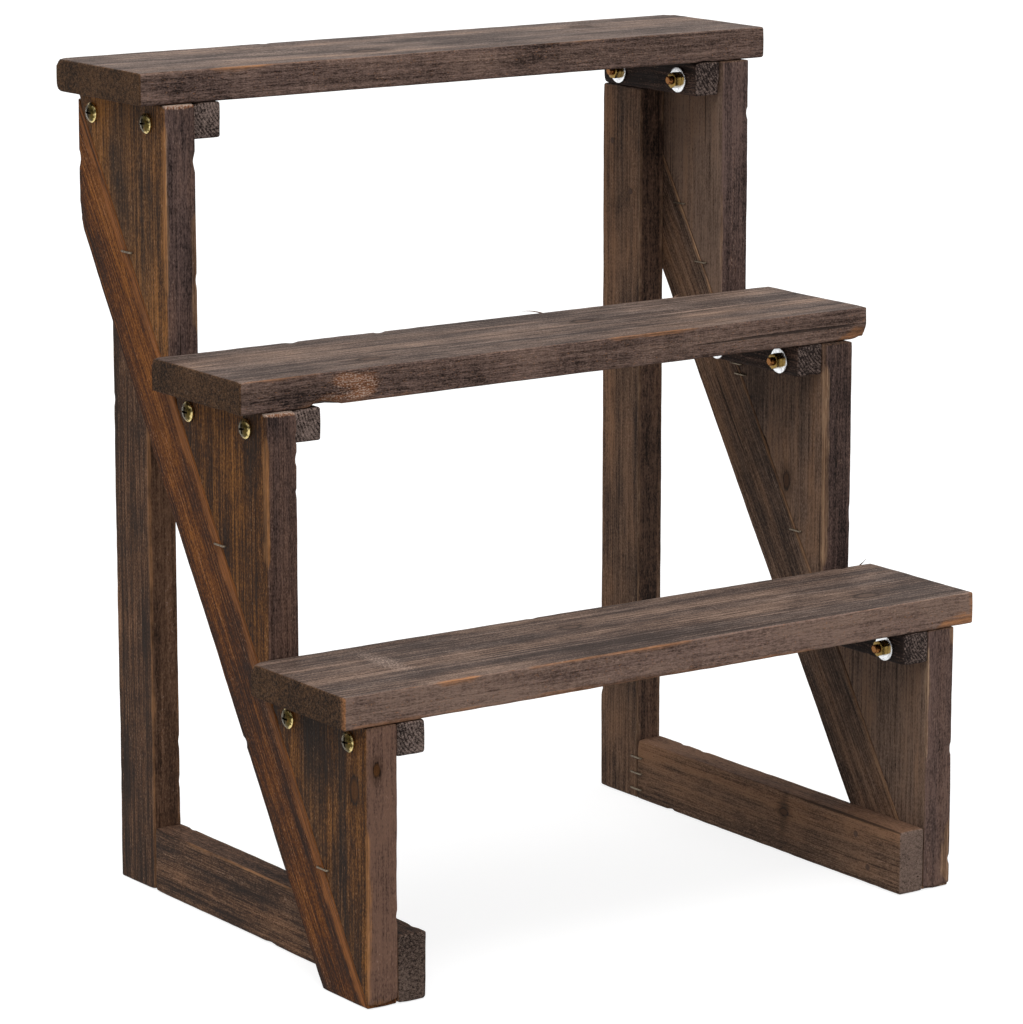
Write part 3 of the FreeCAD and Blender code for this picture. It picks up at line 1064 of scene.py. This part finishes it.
def back_posts_and_rails(paint):
    for hand, seed in (("left", 71), ("right", 75)):
        outside, inside = outer_and_inner(hand)
        node = "back_post_" + hand
        board = Board(node, rectangle(node, False), seed, (0, 1), (30.0, 24.0), 1.1)
        board.rub("front", outside, 2.6).rub("front", inside, 2.0)
        if hand == "left":
            board.tone(-0.06, 0.5).warm_side("front", 1.5, 0.2, 0.18)
        else:
            board.tone(0.06, -0.25).warm_side(inside, 1.5, 0.0, 0.13)
        finish_board(board, paint)
        node = "bottom_rail_" + hand
        board = Board(node, rectangle(node, True), seed + 2, (1, 0), (34.0, 20.0), 1.4)
        board.rub("back", outside, 2.6, -90, 90)
        if hand == "right":
            face, top = board.low[0], board.high[2]
            board.tone(0.3, 0.0).knot(-46, 30, 3.0)
            board.scuff((face, -46, 32), (8, 6, 12), -0.6).scuff((face, -44, 10), (8, 5, 9), -0.5)
            board.scuff((face, -122, top - 0.6), (1.5, 62, 0.9), -1.3)
        finish_board(board, paint)


def cleats(paint):
    seed = 83
    for tier, left_tone in zip(TIERS, (-0.05, 0.12, 0.04)):
        for hand in HANDS:
            node = f"cleat_{tier}_{hand}"
            board = Board(node, rectangle(node, True), seed, (1, 0), (16.0, 24.0), 1.4)
            board.tone(left_tone if hand == "left" else -0.2)
            finish_board(board, paint)
            seed += 3


# ---------------------------------------------------------------- hardware

class Recipe(Graph):
    """A Geometry Nodes tree with named sizes, set out at the points of a carrier mesh."""

    def __init__(self, name, sizes):
        super().__init__(bpy.data.node_groups.new(name, "GeometryNodeTree"))
        face = self.tree.interface
        face.new_socket("Points", in_out="INPUT", socket_type="NodeSocketGeometry")
        face.new_socket("Result", in_out="OUTPUT", socket_type="NodeSocketGeometry")
        for key in sizes:
            face.new_socket(key, in_out="INPUT", socket_type="NodeSocketFloat")
        self.sizes = sizes
        outputs = self.tree.nodes.new("NodeGroupInput").outputs
        self.given = {socket.name: Wire(self, socket) for socket in outputs if socket.name}

    def vector(self, x=0.0, y=0.0, z=0.0):
        return self.node("ShaderNodeCombineXYZ", sockets={"X": x, "Y": y, "Z": z})

    def moved(self, geometry, translation, scale=(1, 1, 1)):
        sockets = {"Geometry": geometry, "Translation": translation, "Scale": scale}
        return self.node("GeometryNodeTransform", sockets=sockets)

    def boolean(self, operation, sockets):
        settings = {"operation": operation, "solver": "EXACT"}
        return self.node("GeometryNodeMeshBoolean", settings, sockets)

    def swept(self, path, section, caps=False):
        return self.node("GeometryNodeCurveToMesh", sockets={
            "Curve": path, "Profile Curve": section, "Fill Caps": caps})

    def rod(self, radius, depth, around, rings=1, low=0.0):
        """A cylinder along z that stands on the height low."""
        rod = self.node("GeometryNodeMeshCylinder", sockets={
            "Vertices": around, "Fill Segments": rings, "Radius": radius, "Depth": depth})
        return self.moved(rod, self.vector(z=depth * 0.5 + low))

    def set_out(self, part, material, seed):
        """Copies of the part at every point, turned as the point says and spun by chance.

        Each keeps its own place about the fastener's axis as the attribute spot."""
        spot = self.node("GeometryNodeInputPosition")
        part = self.node("GeometryNodeStoreNamedAttribute", {"data_type": "FLOAT_VECTOR"}, {
            "Geometry": part, "Name": "spot", "Value": spot})
        turn = self.node("GeometryNodeInputNamedAttribute", {"data_type": "FLOAT_VECTOR"},
                         {"Name": "turn"})
        copies = self.node("GeometryNodeInstanceOnPoints", sockets={
            "Points": self.given["Points"], "Instance": part, "Rotation": turn})
        spin = self.node("FunctionNodeRandomValue", {"data_type": "FLOAT"},
                         {"Min_001": 0.0, "Max_001": 6.283, "Seed": seed}, out=1)
        spun = self.node("GeometryNodeRotateInstances", sockets={
            "Instances": copies, "Rotation": self.vector(z=spin)})
        plain = self.node("GeometryNodeRealizeInstances", sockets={"Geometry": spun})
        done = self.node("GeometryNodeSetMaterial", sockets={"Geometry": plain, "Material": material})
        self.finish("NodeGroupOutput", done)
        return self

    def grow(self, node, slot, spots, turns):
        """Run the recipe at some spots, in mm, and put its plain mesh in a node's place."""
        mesh = bpy.data.meshes.new(node + "_spots")
        mesh.from_pydata([tuple(value * MM for value in spot) for spot in spots], [], [])
        write(mesh, "turn", np.array(turns, float))
        piece = new_piece(node + "_set", mesh)
        modifier = piece.modifiers.new("recipe", "NODES")
        modifier.node_group = self.tree
        for item in self.tree.interface.items_tree:
            if item.in_out == "INPUT" and item.name in self.sizes:
                modifier[item.identifier] = self.sizes[item.name] * MM
        ready = piece.evaluated_get(bpy.context.evaluated_depsgraph_get())
        plain = bpy.data.meshes.new_from_object(ready)
        piece.modifiers.clear()
        piece.data = plain
        plain.shade_smooth()
        plain.set_sharp_from_angle(angle=math.radians(SHARP_ANGLE))
        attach(piece, "root")
        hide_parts(node)


def bolt_recipe(material):
    """A domed bolt with a cross recess, its end threaded; the wood's face is at z 0."""
    recipe = Recipe("domed bolt", {
        "head radius": HEAD_RADIUS, "head height": HEAD_HEIGHT, "dome": 2.5,
        "slot": 1.35, "slot length": 6.6, "slot depth": 1.9,
        "core radius": 2.62, "length": 55.0, "thread length": 14.0, "ridge": 0.5})
    parts = recipe.node("GeometryNodeJoinGeometry", sockets={
        "Geometry": [bolt_head(recipe), *bolt_shank(recipe), bolt_thread(recipe)]})
    return recipe.set_out(parts, material, seed=5)


def bolt_head(recipe):
    """A disc with its upper face raised to a dome, and two crossed slots cut into it."""
    size = recipe.given
    rim = size["head height"] - size["dome"]
    head = recipe.rod(size["head radius"], rim, around=56, rings=12)
    x, y, z = recipe.split(recipe.node("GeometryNodeInputPosition"))
    share = (x * x + y * y) / (size["head radius"] * size["head radius"])
    lift = size["dome"] * (1.0 - share) ** 0.75
    upper = z.math("GREATER_THAN", rim * 0.5)
    head = recipe.node("GeometryNodeSetPosition", sockets={
        "Geometry": head, "Offset": recipe.vector(z=lift * upper)})
    high = recipe.vector(z=size["head height"])
    slots = []
    for sides in (("slot length", "slot"), ("slot", "slot length")):
        bar = recipe.vector(*(size[side] for side in sides), size["slot depth"] * 2.0)
        slots.append(recipe.moved(recipe.node("GeometryNodeMeshCube", sockets={"Size": bar}), high))
    return recipe.boolean("DIFFERENCE", {"Mesh 1": head, "Mesh 2": slots})


def bolt_shank(recipe):
    """The round shank and its tapered tip, which overlap a little."""
    size = recipe.given
    chamfer = size["ridge"] * 2.0
    tip = recipe.node("GeometryNodeMeshCone", sockets={
        "Vertices": 28, "Radius Top": size["core radius"], "Radius Bottom": size["core radius"] * 0.8,
        "Depth": chamfer})
    tip = recipe.moved(tip, recipe.vector(z=size["ridge"] - size["length"]))
    shank = recipe.rod(size["core radius"], size["length"] - chamfer + 0.1 * MM, around=28,
                       low=chamfer - size["length"])
    return shank, tip


def bolt_thread(recipe):
    """A square ridge wound round the shank's end, one turn to the millimetre."""
    size = recipe.given
    spiral = recipe.node("GeometryNodeCurveSpiral", sockets={
        "Resolution": 26, "Rotations": size["thread length"] * (1.0 / MM),
        "Start Radius": size["core radius"], "End Radius": size["core radius"],
        "Height": size["thread length"]})
    outline = recipe.node("GeometryNodeCurvePrimitiveCircle", sockets={
        "Resolution": 4, "Radius": size["ridge"]})
    thread = recipe.swept(spiral, outline, caps=True)
    return recipe.moved(thread, recipe.vector(z=size["ridge"] * 2.0 - size["length"]))


def nut_recipe(material):
    """A hexagon nut with chamfered corners and a bore, standing on z 0."""
    recipe = Recipe("hexagon nut", {"corner radius": 5.77, "height": 5.0, "bore": 3.05,
                                    "round": 7.5, "round height": 3.35})
    size = recipe.given
    hexagon = recipe.rod(size["corner radius"], size["height"], around=6)
    ball = recipe.node("GeometryNodeMeshUVSphere", sockets={
        "Segments": 64, "Rings": 40, "Radius": size["round"]})
    flat = recipe.vector(1.0, 1.0, size["round height"] / size["round"])
    ball = recipe.moved(ball, recipe.vector(z=size["height"] * 0.5), flat)
    bore = recipe.rod(size["bore"], size["height"] * 2.0, around=32, low=size["height"] * -0.5)
    body = recipe.boolean("INTERSECT", {"Mesh 2": [hexagon, ball]})
    nut = recipe.boolean("DIFFERENCE", {"Mesh 1": body, "Mesh 2": bore})
    return recipe.set_out(nut, material, seed=9)


def washer_recipe(material):
    """A flat washer with eased rims, standing on z 0."""
    recipe = Recipe("flat washer", {"mean radius": 6.1, "breadth": 5.75, "height": WASHER,
                                    "ease": 0.35})
    size = recipe.given
    path = recipe.node("GeometryNodeCurvePrimitiveCircle", sockets={
        "Resolution": 64, "Radius": size["mean radius"]})
    section = recipe.node("GeometryNodeCurvePrimitiveQuadrilateral", sockets={
        "Width": size["breadth"], "Height": size["height"]})
    section = recipe.node("GeometryNodeFilletCurve", {"mode": "POLY"}, {
        "Curve": section, "Radius": size["ease"], "Count": 3})
    ring = recipe.moved(recipe.swept(path, section), recipe.vector(z=size["height"] * 0.5))
    return recipe.set_out(ring, material, seed=3)


def fix_bolts(finishes):
    """Two bolts through each shelf end, each with a washer and a nut on the inside."""
    outside = box_mm("brace_right")[1][0]
    inside = box_mm("cleat_top_right")[0][0]
    families = (
        ("bolts_", "yellow_zinc", bolt_recipe(finishes["yellow_zinc"]), outside, 1),
        ("washers_", "bright_zinc", washer_recipe(finishes["bright_zinc"]), inside, -1),
        ("nuts_", "yellow_zinc", nut_recipe(finishes["nut_zinc"]), inside - WASHER, -1))
    for tier in TIERS:
        low, high = box_mm("washers_" + tier)
        height = (low[2] + high[2]) / 2
        reach = (high[2] - low[2]) / 2
        rows = [(hand, y) for hand in (-1, 1) for y in (low[1] + reach, high[1] - reach)]
        for family, slot, recipe, base, facing in families:
            spots = [(hand * base, y, height) for hand, y in rows]
            turns = [(0, facing * hand * math.pi / 2, 0) for hand, y in rows]
            recipe.grow(family + tier, slot, spots, turns)


def dress_hardware(finishes):
    """Give the screws, staples and nails of the frame their finishes."""
    slots = {"screws": "bright_zinc", "staples": "staple_wire", "nails": "nail_steel"}
    for node, piece in frame["nodes"].items():
        family = node.split("_")[0]
        if family in slots:
            for slot in piece.material_slots:
                slot.material = finishes[slots[family]]


# ---------------------------------------------------------------- studio

def floor():
    """A pale floor that keeps the stand's shadow and looks white to the camera."""
    mesh = bpy.data.meshes.new("floor")
    ring = [(-FLOOR_HALF, -FLOOR_HALF), (FLOOR_HALF, -FLOOR_HALF), (FLOOR_HALF, FLOOR_HALF),
            (-FLOOR_HALF, FLOOR_HALF)]
    mesh.from_pydata([(x, y, -FLOOR_DROP) for x, y in ring], [], [(0, 1, 2, 3)])
    piece = new_piece("floor", mesh)
    paint = Paint("pale floor")
    camera = paint.node("ShaderNodeLightPath", out=0)
    glossy = paint.node("ShaderNodeLightPath", out=3)
    glow = paint.node("ShaderNodeEmission", sockets={
        "Color": (1, 1, 1, 1), "Strength": camera.highest(glossy) * FLOOR_GLOW})
    grey = (FLOOR_GREY, FLOOR_GREY, FLOOR_GREY, 1)
    matt = paint.node("ShaderNodeBsdfDiffuse", sockets={"Color": grey})
    both = paint.node("ShaderNodeAddShader", sockets={"Shader": glow, "Shader_001": matt})
    mesh.materials.append(paint.surface(both))


def world():
    """White to the camera, a plain level of light elsewhere; metal mirrors a pale and a dim side."""
    place = bpy.data.worlds.new("studio")
    bpy.context.scene.world = place
    place.use_nodes = True
    graph = Graph(place.node_tree)
    outputs = graph.node("ShaderNodeLightPath").socket.node.outputs
    camera, glossy, clear = (Wire(graph, outputs[name]) for name in (
        "Is Camera Ray", "Is Glossy Ray", "Is Transmission Ray"))
    x, y, z = graph.split(graph.node("ShaderNodeTexCoord", out=0))
    pale = graph.step(z + y * 0.25, 0.15, 0.55)
    white = camera.highest(clear)
    seen = white.highest(glossy * (pale * 0.85 + 0.15))
    strength = AMBIENT * (1 - white.highest(glossy)) + seen
    light = graph.node("ShaderNodeBackground", sockets={"Color": (1, 1, 1, 1), "Strength": strength})
    graph.finish("ShaderNodeOutputWorld", light)


def lamp():
    """A wide soft lamp far off."""
    light = bpy.data.lights.new("overhead", "SUN")
    light.energy = LAMP_STRENGTH
    light.angle = math.radians(LAMP_SPREAD)
    piece = bpy.data.objects.new("overhead", light)
    piece.rotation_euler = Vector(LAMP_AIM).to_track_quat("-Z", "Y").to_euler()
    bpy.context.scene.collection.objects.link(piece)


def camera():
    yaw, pitch = math.radians(CAMERA_YAW), math.radians(CAMERA_PITCH)
    ahead = Vector((math.sin(yaw) * math.cos(pitch), math.cos(yaw) * math.cos(pitch), -math.sin(pitch)))
    right = Vector((math.cos(yaw), -math.sin(yaw), 0.0))
    up = right.cross(ahead)
    data = bpy.data.cameras.new("camera")
    data.lens = CAMERA_LENS
    data.sensor_width = SENSOR_WIDTH
    data.clip_end = 100.0
    piece = bpy.data.objects.new("camera", data)
    turn = Matrix((right, up, -ahead)).transposed().to_4x4()
    piece.matrix_world = Matrix.Translation(CAMERA_PLACE) @ turn
    bpy.context.scene.collection.objects.link(piece)
    bpy.context.scene.camera = piece


def main():
    bpy.context.scene.view_settings.view_transform = "Standard"
    camera()
    world()
    floor()
    lamp()
    shelves(shelf_wood())
    grey = grey_post_wood()
    braces(brace_wood(), grey)
    posts(post_wood(), grey)
    back_posts_and_rails(batten_wood())
    cleats(cleat_wood())
    finishes = metals()
    fix_bolts(finishes)
    dress_hardware(finishes)


main()
bpy.context.view_layer.update()
